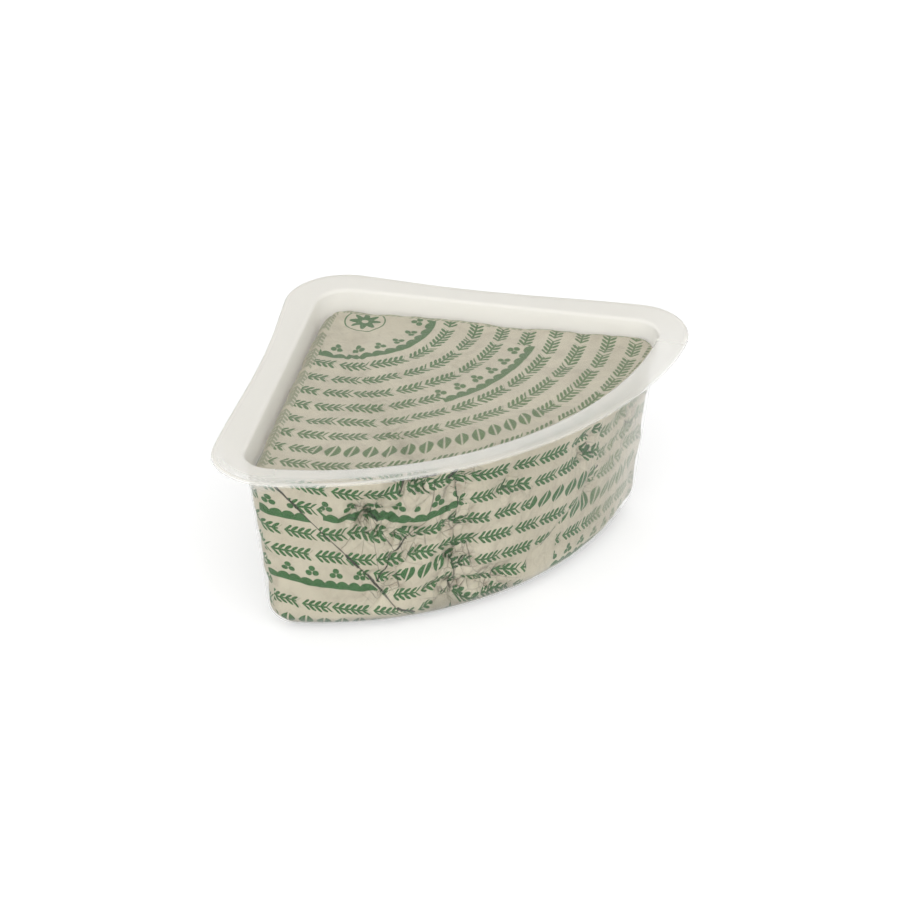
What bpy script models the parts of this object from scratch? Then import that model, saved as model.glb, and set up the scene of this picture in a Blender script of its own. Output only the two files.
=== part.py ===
"""A sealed clear plastic tray that holds an eighth of a blue cheese wheel, wrapped in printed foil.

The pack is a rounded quarter sector seen from above. The tray is one formed plastic sheet with a wide rim,
flared at its three corners. The wrapped cheese is a solid wedge that fills the tray, with the foil's folded
flaps as relief on its round side. A thin film lies on the rim and shuts the tray.
Units are metres and +Z is up. The origin is on the floor, under the middle of the pack. The two straight
sides meet at +Y, and the round side faces -Y.
"""

import math

import bmesh
import bpy

# The tray's rim and wall
PACK_HEIGHT = 0.0968
SHEET_THICKNESS = 0.0008
MOUTH_RADIUS = 0.1640
MOUTH_APEX_RADIUS = 0.0145
MOUTH_CORNER_RADIUS = 0.0120
BASE_CORNER_RADIUS = 0.0085
BASE_EDGE_RADIUS = 0.0132
SIDE_DRAFT = 0.0086
FRONT_DRAFT = 0.0103
RIM_SIDE_WIDTH = 0.0128
RIM_FRONT_WIDTH = 0.0118
RIM_APEX_FLARE = 0.0037
RIM_APEX_REACH = 0.043
RIM_CORNER_FLARE = 0.0034
RIM_CORNER_REACH = 0.0535
RIM_LIP_DROP = 0.0024
RIM_LIP_RADIUS = 0.0020
MOUTH_FILLET = 0.0020

# The wrapped cheese
CHEESE_CLEARANCE = 0.0016
CHEESE_TOP = 0.0898
CHEESE_SOFT_EDGE_RADIUS = 0.0080
CHEESE_CRISP_EDGE_RADIUS = 0.0040
CHEESE_CRISP_CORNER = 0.110
CHEESE_TOP_CORNER_RADIUS = 0.0095
CHEESE_TOP_APEX_RADIUS = 0.0160
TOUCHING_GAP = 0.0003

# The folded foil on the round side, as places (arc length from the middle, height), thicknesses and depths.
# A flap lies over the left end, and the foil falls away behind a fold towards the right end.
WALL_ARC_RADIUS = 0.159
ROUND_SIDE_STARTS = 0.72
ROUND_SIDE_FADE = 0.09
LEFT_FLAP_EDGE = ((-0.1085, 0.0855), (-0.0572, 0.0123))
LEFT_FLAP_THICKNESS = 0.0006
RIGHT_FOLD_EDGE = ((0.0235, 0.0252), (0.0609, 0.0478))
RIGHT_FOLD_FOOT = 0.0155
RIGHT_FOLD_HEAD = 0.0600
RIGHT_FOLD_DEPTH = 0.0012
RIGHT_END_DEPTH = 0.0012
MIDDLE_CREASE = -0.0265
MIDDLE_CREASE_DEPTH = 0.0005
CREASE_WIDTH = 0.0045

# The film over the mouth
FILM_THICKNESS = 0.0003
FILM_SETBACK = 0.0022

# Steps round the outline, from the apex to the middle of the round side, and along rounded edges
COARSE_STEPS = {"apex": 5, "side": 8, "corner": 7, "front": 15}
FINE_STEPS = {"apex": 5, "side": 9, "corner": 7, "front": 34}
EDGE_STEPS = 4
TRAY_WALL_STEPS = 3
CHEESE_WALL_STEPS = 12

SIDE_NORMAL = math.radians(135)
SHARP_ANGLE = math.radians(40)
# How far the middle of a rounded edge lies inside its square corner, as a share of the radius
EDGE_MIDDLE = 1 - math.sqrt(0.5)
# How much a corner's radius shrinks, seen from above, as the outline moves in along a rounded edge
CORNER_SHRINKAGE = 0.5
LEAST_CORNER_RADIUS = 0.0025


def arc(centre, radius, start, end, steps):
    """Points on an arc with their outward directions, from start to end, without the last."""
    points = []
    for step in range(steps):
        angle = start + (end - start) * step / steps
        direction = (math.cos(angle), math.sin(angle))
        points.append(((centre[0] + radius * direction[0], centre[1] + radius * direction[1]), direction))
    return points


def half_outline(side_inset, front_radius, apex_radius, corner_radius, steps):
    """Half of a rounded quarter sector, from its apex round one corner to the middle of its round side.

    The sides run at 45 degrees to the first axis. Each entry is a point and its outward direction.
    """
    apex = side_inset * math.sqrt(2)
    apex_centre = (apex + apex_radius * math.sqrt(2), 0.0)
    corner_shift = apex + corner_radius * math.sqrt(2)
    inner_radius = front_radius - corner_radius
    corner_v = (-corner_shift + math.sqrt(2 * inner_radius**2 - corner_shift**2)) / 2
    corner_centre = (corner_v + corner_shift, corner_v)
    corner_end = math.atan2(corner_centre[1], corner_centre[0])

    outline = arc(apex_centre, apex_radius, math.pi, SIDE_NORMAL, steps["apex"])
    side_direction = (math.cos(SIDE_NORMAL), math.sin(SIDE_NORMAL))
    side_start = [apex_centre[i] + apex_radius * side_direction[i] for i in range(2)]
    side_end = [corner_centre[i] + corner_radius * side_direction[i] for i in range(2)]
    for step in range(steps["side"]):
        share = step / steps["side"]
        point = tuple(side_start[i] + (side_end[i] - side_start[i]) * share for i in range(2))
        outline.append((point, side_direction))
    outline += arc(corner_centre, corner_radius, SIDE_NORMAL, corner_end, steps["corner"])
    outline += arc((0.0, 0.0), front_radius, corner_end, 0.0, steps["front"])
    outline.append(((front_radius, 0.0), (1.0, 0.0)))
    return outline


def full_outline(*shape):
    """The whole outline, counter-clockwise seen from above once it is placed."""
    half = half_outline(*shape)
    mirrored = [((u, -v), (du, -dv)) for (u, v), (du, dv) in half[1:-1]]
    return mirrored + half[::-1]


def eased(value):
    """A smooth step from 0 to 1."""
    value = min(max(value, 0.0), 1.0)
    return value * value * (3 - 2 * value)


def rim_width(point, direction, corner):
    """How far the rim reaches past a point of the mouth: wider near the apex and near both corners."""
    from_apex = math.hypot(point[0], point[1])
    from_corner = math.hypot(point[0] - corner[0], abs(point[1]) - corner[1])
    flare = RIM_APEX_FLARE * math.exp(-((from_apex / RIM_APEX_REACH) ** 2))
    flare += RIM_CORNER_FLARE * math.exp(-((from_corner / RIM_CORNER_REACH) ** 2))
    front_share = eased(direction[0] + 0.5)
    return RIM_SIDE_WIDTH + (RIM_FRONT_WIDTH - RIM_SIDE_WIDTH) * front_share + flare


def mouth_outline(steps):
    """The mouth's outline, and the rim's width at each of its points."""
    outline = full_outline(0.0, MOUTH_RADIUS, MOUTH_APEX_RADIUS, MOUTH_CORNER_RADIUS, steps)
    reach = (MOUTH_RADIUS - MOUTH_CORNER_RADIUS) / math.sqrt(2)
    shift = MOUTH_CORNER_RADIUS / math.sqrt(2)
    corner = (reach + shift, reach - shift)
    widths = [rim_width(point, direction, corner) for point, direction in outline]
    return outline, widths


def pack_middle():
    """The middle of the pack along the line from the apex to the round side."""
    outline, widths = mouth_outline(COARSE_STEPS)
    reach = [point[0] + direction[0] * width for (point, direction), width in zip(outline, widths)]
    return (min(reach) + max(reach)) / 2


MIDDLE = pack_middle()


def placed(point, height):
    """A point of the outline at its place in the pack."""
    return (point[1], MIDDLE - point[0], height)


def ring(outline, offsets, heights):
    """One closed ring of places: the outline moved outwards by its offsets."""
    places = []
    for (point, direction), offset, height in zip(outline, offsets, heights):
        moved = (point[0] + direction[0] * offset, point[1] + direction[1] * offset)
        places.append(placed(moved, height))
    return places


def flat_ring(outline, offsets, height):
    """One closed ring of places at one height."""
    return ring(outline, offsets, [height] * len(outline))


def lofted(name, rings, first_cap, last_cap):
    """A mesh object of quads between successive rings, with flat caps on its first or last ring."""
    mesh = bmesh.new()
    rows = [[mesh.verts.new(place) for place in places] for places in rings]
    for lower, upper in zip(rows, rows[1:]):
        for here in range(len(lower)):
            following = (here + 1) % len(lower)
            mesh.faces.new((lower[here], lower[following], upper[following], upper[here]))
    if first_cap:
        mesh.faces.new(rows[0][::-1])
    if last_cap:
        mesh.faces.new(rows[-1])
    for face in mesh.faces:
        face.smooth = True
    data = bpy.data.meshes.new(name)
    mesh.to_mesh(data)
    mesh.free()
    data.set_sharp_from_angle(angle=SHARP_ANGLE)
    made = bpy.data.objects.new(name, data)
    bpy.context.scene.collection.objects.link(made)
    return made


def between(start, end, share):
    """The value at a share of the way from start to end."""
    return start + (end - start) * share


def wall_outline(height, inset, edge_inset, steps, top_corner=MOUTH_CORNER_RADIUS, top_apex=MOUTH_APEX_RADIUS):
    """The tray's inner wall at a height, moved in by an inset, and by a further one along a rounded edge."""
    depth = 1.0 - height / PACK_HEIGHT
    side_inset = SIDE_DRAFT * depth + inset + edge_inset
    front_radius = MOUTH_RADIUS - FRONT_DRAFT * depth - inset - edge_inset
    corner_radius = between(top_corner, BASE_CORNER_RADIUS, depth) - CORNER_SHRINKAGE * edge_inset
    apex_radius = between(top_apex, MOUTH_APEX_RADIUS, depth)
    return full_outline(side_inset, front_radius, apex_radius, max(corner_radius, LEAST_CORNER_RADIUS), steps)


def rounded_edge(radius):
    """Inset and rise of points round the bottom edge, from its foot to its top."""
    angles = [math.pi / 2 * step / EDGE_STEPS for step in range(EDGE_STEPS + 1)]
    return [(radius * (1 - math.sin(angle)), radius * (1 - math.cos(angle))) for angle in angles]


def paint(made, name, colour, roughness, transmission=0.0):
    """Gives an object its own material."""
    material = bpy.data.materials.new(name)
    material.use_nodes = True
    surface = material.node_tree.nodes["Principled BSDF"]
    surface.inputs["Base Color"].default_value = (*colour, 1.0)
    surface.inputs["Roughness"].default_value = roughness
    surface.inputs["Transmission Weight"].default_value = transmission
    made.data.materials.append(material)


def build_tray():
    """One formed sheet: a rim with a turned-down lip, a drafted wall and a flat floor with a rounded edge."""
    mouth, widths = mouth_outline(COARSE_STEPS)
    flush = [0.0] * len(mouth)
    lip_middle = EDGE_MIDDLE * RIM_LIP_RADIUS
    fillet_middle = EDGE_MIDDLE * MOUTH_FILLET
    rings = [
        flat_ring(mouth, widths, PACK_HEIGHT - RIM_LIP_DROP),
        flat_ring(mouth, widths, PACK_HEIGHT - RIM_LIP_RADIUS),
        flat_ring(mouth, [width - lip_middle for width in widths], PACK_HEIGHT - lip_middle),
        flat_ring(mouth, [width - RIM_LIP_RADIUS for width in widths], PACK_HEIGHT),
        flat_ring(mouth, [MOUTH_FILLET] * len(mouth), PACK_HEIGHT),
        flat_ring(mouth, [fillet_middle] * len(mouth), PACK_HEIGHT - fillet_middle),
        flat_ring(mouth, flush, PACK_HEIGHT - MOUTH_FILLET),
    ]
    wall_head = PACK_HEIGHT - MOUTH_FILLET
    wall_foot = SHEET_THICKNESS + BASE_EDGE_RADIUS
    for step in range(1, TRAY_WALL_STEPS):
        height = between(wall_head, wall_foot, step / TRAY_WALL_STEPS)
        rings.append(flat_ring(wall_outline(height, 0.0, 0.0, COARSE_STEPS), flush, height))
    for inset, rise in reversed(rounded_edge(BASE_EDGE_RADIUS)):
        height = SHEET_THICKNESS + rise
        outline = wall_outline(height, 0.0, inset, COARSE_STEPS)
        rings.append(flat_ring(outline, flush, height))
    tray = lofted("tray", rings, False, True)
    sheet = tray.modifiers.new("sheet", "SOLIDIFY")
    sheet.thickness = SHEET_THICKNESS
    sheet.offset = -1.0
    sheet.use_even_offset = True
    paint(tray, "clear_plastic", (0.86, 0.85, 0.82), 0.30, 0.8)


def above_line(place, line):
    """Distance of a place on the round side from a fold's edge, positive above the edge."""
    (start_s, start_z), (end_s, end_z) = line
    along = (end_s - start_s, end_z - start_z)
    length = math.hypot(*along)
    return ((place[1] - start_z) * along[0] - (place[0] - start_s) * along[1]) / length


def flap_relief(point, direction, height):
    """How far the folded foil stands out at a point of the round side."""
    on_round_side = eased((direction[0] - ROUND_SIDE_STARTS) / ROUND_SIDE_FADE)
    across = math.atan2(point[1], point[0]) * WALL_ARC_RADIUS
    place = (across, height)
    left_flap = eased(0.5 - above_line(place, LEFT_FLAP_EDGE) / CREASE_WIDTH)
    under_fold = eased(0.5 - above_line(place, RIGHT_FOLD_EDGE) / CREASE_WIDTH)
    under_fold *= eased((across - RIGHT_FOLD_FOOT) / CREASE_WIDTH)
    past_fold = eased((across - RIGHT_FOLD_HEAD) / CREASE_WIDTH)
    right_end = eased((across - RIGHT_FOLD_HEAD) / RIGHT_FOLD_HEAD)
    crease = math.exp(-(((across - MIDDLE_CREASE) / CREASE_WIDTH) ** 2))
    relief = LEFT_FLAP_THICKNESS * left_flap - MIDDLE_CREASE_DEPTH * crease
    relief -= RIGHT_FOLD_DEPTH * max(under_fold, past_fold) + RIGHT_END_DEPTH * right_end
    return on_round_side * relief


def top_edge_radius(point):
    """The rounding of the cheese's top edge: soft all round, and crisp at the corner towards +X."""
    return between(CHEESE_SOFT_EDGE_RADIUS, CHEESE_CRISP_EDGE_RADIUS, eased(point[1] / CHEESE_CRISP_CORNER))


def cheese_outline(height, edge_inset=0.0):
    """The cheese's outline at a height: the tray's inner wall moved in by the clearance."""
    return wall_outline(
        height, CHEESE_CLEARANCE, edge_inset, FINE_STEPS, CHEESE_TOP_CORNER_RADIUS, CHEESE_TOP_APEX_RADIUS
    )


def reliefs(outline, height, fade=1.0):
    """The folded foil's relief at each point of an outline."""
    return [fade * flap_relief(point, direction, height) for point, direction in outline]


def build_cheese():
    """The foil-wrapped wedge: rounded edges all round, and the foil's flaps on its round side."""
    rings = []
    bottom = SHEET_THICKNESS + TOUCHING_GAP
    bottom_radius = BASE_EDGE_RADIUS - CHEESE_CLEARANCE + TOUCHING_GAP
    for inset, rise in rounded_edge(bottom_radius):
        height = bottom + rise
        outline = cheese_outline(height, inset)
        rings.append(flat_ring(outline, reliefs(outline, height, eased(rise / bottom_radius)), height))

    wall_foot = bottom + bottom_radius
    wall_head = CHEESE_TOP - CHEESE_SOFT_EDGE_RADIUS
    for step in range(1, CHEESE_WALL_STEPS):
        height = between(wall_foot, wall_head, step / CHEESE_WALL_STEPS)
        outline = cheese_outline(height)
        rings.append(flat_ring(outline, reliefs(outline, height), height))

    for inset, rise in reversed(rounded_edge(1.0)):
        height = CHEESE_TOP - CHEESE_SOFT_EDGE_RADIUS * rise
        outline = cheese_outline(height)
        radii = [top_edge_radius(point) for point, _ in outline]
        stands_out = reliefs(outline, height, eased(rise))
        offsets = [relief - radius * inset for relief, radius in zip(stands_out, radii)]
        rings.append(ring(outline, offsets, [CHEESE_TOP - radius * rise for radius in radii]))
    cheese = lofted("wrapped_cheese", rings, True, True)
    paint(cheese, "printed_foil", (0.60, 0.55, 0.44), 0.45)


def build_film():
    """The thin film that lies on the rim and closes the mouth."""
    mouth, widths = mouth_outline(COARSE_STEPS)
    offsets = [width - FILM_SETBACK for width in widths]
    underside = PACK_HEIGHT + TOUCHING_GAP
    film = lofted(
        "lid_film",
        [flat_ring(mouth, offsets, underside), flat_ring(mouth, offsets, underside + FILM_THICKNESS)],
        True,
        True,
    )
    paint(film, "clear_film", (0.95, 0.95, 0.95), 0.08, 0.95)


for leftover in list(bpy.data.objects):
    bpy.data.objects.remove(leftover)

build_tray()
build_cheese()
build_film()
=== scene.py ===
"""The looks of a wedge of blue cheese, wrapped in printed foil and sealed in a clear plastic tray.

The frame gives the tray, the wrapped wedge and the film at their real size and place, in metres. The
sections follow the pack as it is filled: the formed tray, the wedge in its foil, the film sealed on the
rim, and last the table, the light and the camera.
"""

import math
from functools import partialmethod

import bpy
import numpy as np
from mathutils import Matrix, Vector


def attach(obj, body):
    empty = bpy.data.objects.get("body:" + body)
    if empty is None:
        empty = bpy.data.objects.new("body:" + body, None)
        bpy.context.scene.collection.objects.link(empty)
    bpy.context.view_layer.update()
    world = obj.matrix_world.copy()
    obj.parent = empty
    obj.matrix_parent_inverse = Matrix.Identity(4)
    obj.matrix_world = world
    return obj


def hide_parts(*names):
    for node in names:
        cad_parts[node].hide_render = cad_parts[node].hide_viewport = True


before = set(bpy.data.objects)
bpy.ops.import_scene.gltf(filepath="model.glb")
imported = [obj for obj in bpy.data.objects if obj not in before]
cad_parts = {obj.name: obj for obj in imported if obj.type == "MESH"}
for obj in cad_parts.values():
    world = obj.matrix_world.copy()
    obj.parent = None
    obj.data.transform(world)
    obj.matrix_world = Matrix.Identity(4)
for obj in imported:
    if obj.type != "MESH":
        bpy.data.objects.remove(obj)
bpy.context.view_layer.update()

# The formed tray
# One sheet of polypropylene drawn over a mould: a wide rim with a turned-down lip, a drafted wall that
# presses on the foil, and a flat floor with a rounded edge. Drawing has thinned the sheet to a third. It is
# milky on the rim and clear where it lies on the foil.

PACK_HEIGHT = 0.0968
SHEET_THICKNESS = 0.00025
SHEET_THINNED = 0.00055
MOUTH_RADIUS = 0.1640
MOUTH_APEX_RADIUS = 0.0145
MOUTH_CORNER_RADIUS = 0.0120
BASE_CORNER_RADIUS = 0.0085
BASE_EDGE_RADIUS = 0.01375
SIDE_DRAFT = 0.0086
FRONT_DRAFT = 0.0103
LEAST_CORNER_RADIUS = 0.0025
SIDE_NORMAL = math.radians(135)

RIM_SIDE_WIDTH = 0.0128
RIM_FRONT_WIDTH = 0.0118
RIM_APEX_FLARE = 0.0037
RIM_APEX_REACH = 0.043
RIM_CORNER_FLARE = 0.0034
RIM_CORNER_REACH = 0.0535
RIM_LIP_DROP = 0.0013
RIM_LIP_RADIUS = 0.0011
MOUTH_FILLET = 0.0020
TRAY_STEPS = {"apex": 12, "side": 30, "corner": 16, "front": 64}
TRAY_EDGE_STEPS = 12
TRAY_WALL_STEPS = 26
TRAY_FLOOR_RINGS = 8
SHARP_ANGLE = math.radians(40)


def eased(value):
    """A smooth step from 0 to 1."""
    value = np.clip(value, 0.0, 1.0)
    return value * value * (3 - 2 * value)


def swept(centre, radius, start, end, steps):
    """Points on an arc and their outward directions, from start to end, without the last."""
    angles = start + (end - start) * np.arange(steps) / steps
    directions = np.column_stack([np.cos(angles), np.sin(angles)])
    return np.array(centre) + radius * directions, directions


def wedge_outline(side_inset, front_radius, apex_radius, corner_radius, steps):
    """The rounded quarter sector seen from above: points and outward directions, all the way round.

    The first coordinate runs from the apex to the round side, the second across the wedge.
    """
    apex = side_inset * math.sqrt(2)
    apex_centre = np.array([apex + apex_radius * math.sqrt(2), 0.0])
    corner_shift = apex + corner_radius * math.sqrt(2)
    inner_radius = front_radius - corner_radius
    corner_v = (-corner_shift + math.sqrt(2 * inner_radius**2 - corner_shift**2)) / 2
    corner_centre = np.array([corner_v + corner_shift, corner_v])
    corner_end = math.atan2(corner_centre[1], corner_centre[0])

    side_direction = np.array([math.cos(SIDE_NORMAL), math.sin(SIDE_NORMAL)])
    side_start = apex_centre + apex_radius * side_direction
    side_end = corner_centre + corner_radius * side_direction
    share = (np.arange(steps["side"]) / steps["side"])[:, None]
    stretches = [
        swept(apex_centre, apex_radius, math.pi, SIDE_NORMAL, steps["apex"]),
        (side_start + (side_end - side_start) * share, np.tile(side_direction, (steps["side"], 1))),
        swept(corner_centre, corner_radius, SIDE_NORMAL, corner_end, steps["corner"]),
        swept((0.0, 0.0), front_radius, corner_end, 0.0, steps["front"]),
        (np.array([[front_radius, 0.0]]), np.array([[1.0, 0.0]])),
    ]
    points = np.concatenate([stretch[0] for stretch in stretches])
    directions = np.concatenate([stretch[1] for stretch in stretches])
    across = np.array([1.0, -1.0])
    return (
        np.concatenate([points[1:-1] * across, points[::-1]]),
        np.concatenate([directions[1:-1] * across, directions[::-1]]),
    )


def wall_outline(height, inset, edge_inset, steps, top_corner, top_apex):
    """The tray's inner wall at a height, moved in by an inset, and by a further one along a rounded edge."""
    depth = 1.0 - height / PACK_HEIGHT
    corner_radius = top_corner + (BASE_CORNER_RADIUS - top_corner) * depth - edge_inset / 2
    return wedge_outline(
        SIDE_DRAFT * depth + inset + edge_inset,
        MOUTH_RADIUS - FRONT_DRAFT * depth - inset - edge_inset,
        top_apex + (MOUTH_APEX_RADIUS - top_apex) * depth,
        max(corner_radius, LEAST_CORNER_RADIUS),
        steps,
    )


def rim_widths(points, directions):
    """How far the rim reaches past each point of the mouth: wider near the apex and near both corners."""
    reach = (MOUTH_RADIUS - MOUTH_CORNER_RADIUS) / math.sqrt(2)
    shift = MOUTH_CORNER_RADIUS / math.sqrt(2)
    from_apex = np.hypot(points[:, 0], points[:, 1])
    from_corner = np.hypot(points[:, 0] - reach - shift, np.abs(points[:, 1]) - reach + shift)
    flare = RIM_APEX_FLARE * np.exp(-((from_apex / RIM_APEX_REACH) ** 2))
    flare += RIM_CORNER_FLARE * np.exp(-((from_corner / RIM_CORNER_REACH) ** 2))
    return RIM_SIDE_WIDTH + (RIM_FRONT_WIDTH - RIM_SIDE_WIDTH) * eased(directions[:, 0] + 0.5) + flare


MOUTH, MOUTH_DIRECTIONS = wedge_outline(
    0.0, MOUTH_RADIUS, MOUTH_APEX_RADIUS, MOUTH_CORNER_RADIUS, TRAY_STEPS
)
RIM_WIDTHS = rim_widths(MOUTH, MOUTH_DIRECTIONS)
RIM_REACH = MOUTH[:, 0] + MOUTH_DIRECTIONS[:, 0] * RIM_WIDTHS
MIDDLE = (RIM_REACH.min() + RIM_REACH.max()) / 2


def placed(points, heights):
    """Places in the pack for points of an outline, at one height or at one for each."""
    return np.column_stack([points[:, 1], MIDDLE - points[:, 0], np.broadcast_to(heights, len(points))])


# How milky the sheet is: full on the rim, and clear down the wall, sooner on the round side than elsewhere
MILKY_FOOT = 0.80
MILKY_LIP = 0.30
MILKY_SIDES = (0.0720, 0.0850)
MILKY_ROUND_SIDE = (0.0890, 0.0940)
ROUND_SIDE_MILKY = 0.66
ROUND_SIDE_FROM = 0.098
ROUND_SIDE_OVER = 0.048

# Towards one corner of the round side the sheet is clear again just inside the lip: shares of the rim's
# width and how milky it is at each, and where across the pack this ends
RIM_BANDS = ((0.18, 0.12), (0.32, 0.16), (0.42, 0.90), (0.56, 1.0), (0.78, 1.0))
CLEAR_BAND_ENDS = -0.030
CLEAR_BAND_FADE = 0.045
WALL_STEPS_CROWD = 1.4


def tray_rings():
    """The sheet's upper face, from the foot of the lip over the rim and down the wall to the floor.

    Each ring comes with how milky the sheet is there.
    """
    rings, milky = [], []
    round_side = eased((MOUTH[:, 0] - ROUND_SIDE_FROM) / ROUND_SIDE_OVER)
    round_side_share = 1 - (1 - ROUND_SIDE_MILKY) * round_side
    in_band = round_side * eased((CLEAR_BAND_ENDS - MOUTH[:, 1]) / CLEAR_BAND_FADE)
    milky_from, milky_to = (
        side + (front - side) * round_side for side, front in zip(MILKY_SIDES, MILKY_ROUND_SIDE)
    )

    def add_rim(offsets, height, milkiness):
        offsets = np.broadcast_to(offsets, len(MOUTH))
        rings.append(placed(MOUTH + MOUTH_DIRECTIONS * offsets[:, None], height))
        milky.append(milkiness * round_side_share)

    def add_wall(height, edge_inset, milkiness):
        points, _ = wall_outline(
            height, -SHEET_THINNED, edge_inset, TRAY_STEPS, MOUTH_CORNER_RADIUS, MOUTH_APEX_RADIUS
        )
        rings.append(placed(points, height))
        milky.append(milkiness * round_side_share)

    quarter = np.linspace(0, math.pi / 2, TRAY_EDGE_STEPS + 1)
    add_rim(RIM_WIDTHS, PACK_HEIGHT - RIM_LIP_DROP, MILKY_FOOT)
    for angle in quarter:
        inset, rise = 1 - math.cos(angle), 1 - math.sin(angle)
        milkiness = MILKY_LIP + (1 - MILKY_LIP) * float(eased(1 - rise))
        add_rim(RIM_WIDTHS - RIM_LIP_RADIUS * inset, PACK_HEIGHT - RIM_LIP_RADIUS * rise, milkiness)
    for share, band in RIM_BANDS:
        add_rim(RIM_WIDTHS + (MOUTH_FILLET - RIM_WIDTHS) * share, PACK_HEIGHT, 1 - (1 - band) * in_band)
    for angle in quarter:
        inset, rise = 1 - math.sin(angle), 1 - math.cos(angle)
        add_rim(MOUTH_FILLET * inset + SHEET_THINNED, PACK_HEIGHT - MOUTH_FILLET * rise, 1.0)
    head, foot = PACK_HEIGHT - MOUTH_FILLET, SHEET_THICKNESS + BASE_EDGE_RADIUS
    for step in range(1, TRAY_WALL_STEPS):
        height = head + (foot - head) * (step / TRAY_WALL_STEPS) ** WALL_STEPS_CROWD
        add_wall(height, 0.0, eased((height - milky_from) / (milky_to - milky_from)))
    for angle in quarter:
        height = SHEET_THICKNESS + BASE_EDGE_RADIUS * (1 - math.sin(angle))
        add_wall(height, BASE_EDGE_RADIUS * (1 - math.cos(angle)), 0.0)
    last = rings[-1]
    centre = last.mean(axis=0)
    for step in range(1, TRAY_FLOOR_RINGS):
        rings.append(centre + (last - centre) * (1 - step / TRAY_FLOOR_RINGS))
        milky.append(np.zeros(len(MOUTH)))
    return rings, milky


def rings_mesh(name, rings, closing):
    """A mesh of quads between rings, closed on one point at the last, or on two at the first and last."""
    count = len(rings[0])
    verts = np.concatenate([*rings, np.array(closing)])
    here = np.arange(count)
    following = (here + 1) % count
    strip = np.column_stack([here, following, following + count, here + count])
    last = (len(rings) - 1) * count
    faces = np.concatenate([strip + row * count for row in range(len(rings) - 1)]).tolist()
    if len(closing) == 2:
        faces += np.column_stack([np.full(count, len(verts) - 2), following, here]).tolist()
    faces += np.column_stack([np.full(count, len(verts) - 1), last + here, last + following]).tolist()
    mesh = bpy.data.meshes.new(name)
    mesh.from_pydata(verts.tolist(), [], faces)
    mesh.shade_smooth()
    mesh.update()
    return mesh


def point_reading(mesh, name, values):
    """Keeps a number at each point of a mesh, for the nodes that shape it or colour it."""
    attribute = mesh.attributes.new(name, "FLOAT", "POINT")
    attribute.data.foreach_set("value", np.asarray(values, dtype=np.float32))


def linked(name, mesh):
    """A new object for a mesh, in the scene."""
    made = bpy.data.objects.new(name, mesh)
    bpy.context.scene.collection.objects.link(made)
    return made


def made_plain(made):
    """Makes the result of a piece's modifiers its plain mesh."""
    plain = bpy.data.meshes.new_from_object(made.evaluated_get(bpy.context.evaluated_depsgraph_get()))
    made.modifiers.clear()
    made.data = plain


def thickened(made, thickness, offset):
    """Gives a sheet its thickness and makes the result its plain mesh."""
    sheet = made.modifiers.new("sheet", "SOLIDIFY")
    sheet.thickness = thickness
    sheet.offset = offset
    sheet.use_even_offset = True
    made_plain(made)
    made.data.shade_smooth()
    made.data.set_sharp_from_angle(angle=SHARP_ANGLE)


# The foil lies on the sheet between these heights, and stands away past this distance along the round side
TOUCHES_FROM = 0.002
TOUCHES_TO = 0.0865
TOUCHES_FADE = 0.006
STANDS_AWAY_FROM = 0.050
STANDS_AWAY_OVER = 0.020


def touched_share(places):
    """How closely the foil lies on the sheet at each place: 1 where it touches, 0 where it stands away."""
    across = np.arctan2(places[:, 0], MIDDLE - places[:, 1]) * MOUTH_RADIUS
    height = places[:, 2]
    up = eased((height - TOUCHES_FROM) / TOUCHES_FADE) * eased((TOUCHES_TO - height) / TOUCHES_FADE)
    return up * (1 - eased((across - STANDS_AWAY_FROM) / STANDS_AWAY_OVER))


rings, milky = tray_rings()
tray_mesh = rings_mesh("formed_tray", rings, [rings[-1].mean(axis=0)])
point_reading(tray_mesh, "milky", np.append(np.concatenate(milky), 0.0))
formed_tray = linked("formed_tray", tray_mesh)
thickened(formed_tray, SHEET_THICKNESS, -1.0)
sheet_places = np.array([vertex.co for vertex in formed_tray.data.vertices])
point_reading(formed_tray.data, "touched", touched_share(sheet_places))


class Reading:
    """A number that changes over a piece, worked out by nodes."""

    def __init__(self, tree, socket):
        self.tree = tree
        self.socket = socket

    def worked(self, operation, *others, held=False):
        """This reading put through one sum, with other readings or plain numbers."""
        node = self.tree.nodes.new("ShaderNodeMath")
        node.operation = operation
        node.use_clamp = held
        for index, value in enumerate((self, *others)):
            if isinstance(value, Reading):
                self.tree.links.new(value.socket, node.inputs[index])
            else:
                node.inputs[index].default_value = value
        return Reading(self.tree, node.outputs[0])

    # Sums with another reading or a plain number: least and most are the lower and the higher of the two,
    # and is_over and is_under are 1 where that is so and 0 elsewhere
    __add__ = partialmethod(worked, "ADD")
    __sub__ = partialmethod(worked, "SUBTRACT")
    __mul__ = partialmethod(worked, "MULTIPLY")
    __truediv__ = partialmethod(worked, "DIVIDE")
    __abs__ = partialmethod(worked, "ABSOLUTE")
    least = partialmethod(worked, "MINIMUM")
    most = partialmethod(worked, "MAXIMUM")
    is_over = partialmethod(worked, "GREATER_THAN")
    is_under = partialmethod(worked, "LESS_THAN")

    def against(self, number):
        """A plain number less this reading."""
        return self.worked("MULTIPLY_ADD", -1.0, number)

    def held(self):
        """The reading kept between 0 and 1."""
        return self.worked("ADD", 0.0, held=True)

    def stretched(self, gain, less):
        """The reading times a gain, less a number, kept between 0 and 1."""
        return (self * gain).worked("SUBTRACT", less, held=True)

    def is_between(self, low, high):
        """1 where the reading is between two numbers, and 0 elsewhere."""
        return self.is_over(low) * self.is_under(high)

    def is_about(self, number):
        """1 where the reading is within a half of a number, and 0 elsewhere."""
        return self.worked("COMPARE", number, 0.5)

    def inked(self, softness):
        """Ink where a distance is below zero, fading out over softness."""
        return (self / softness).worked("MULTIPLY_ADD", -1.0, 0.5, held=True)


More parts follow.
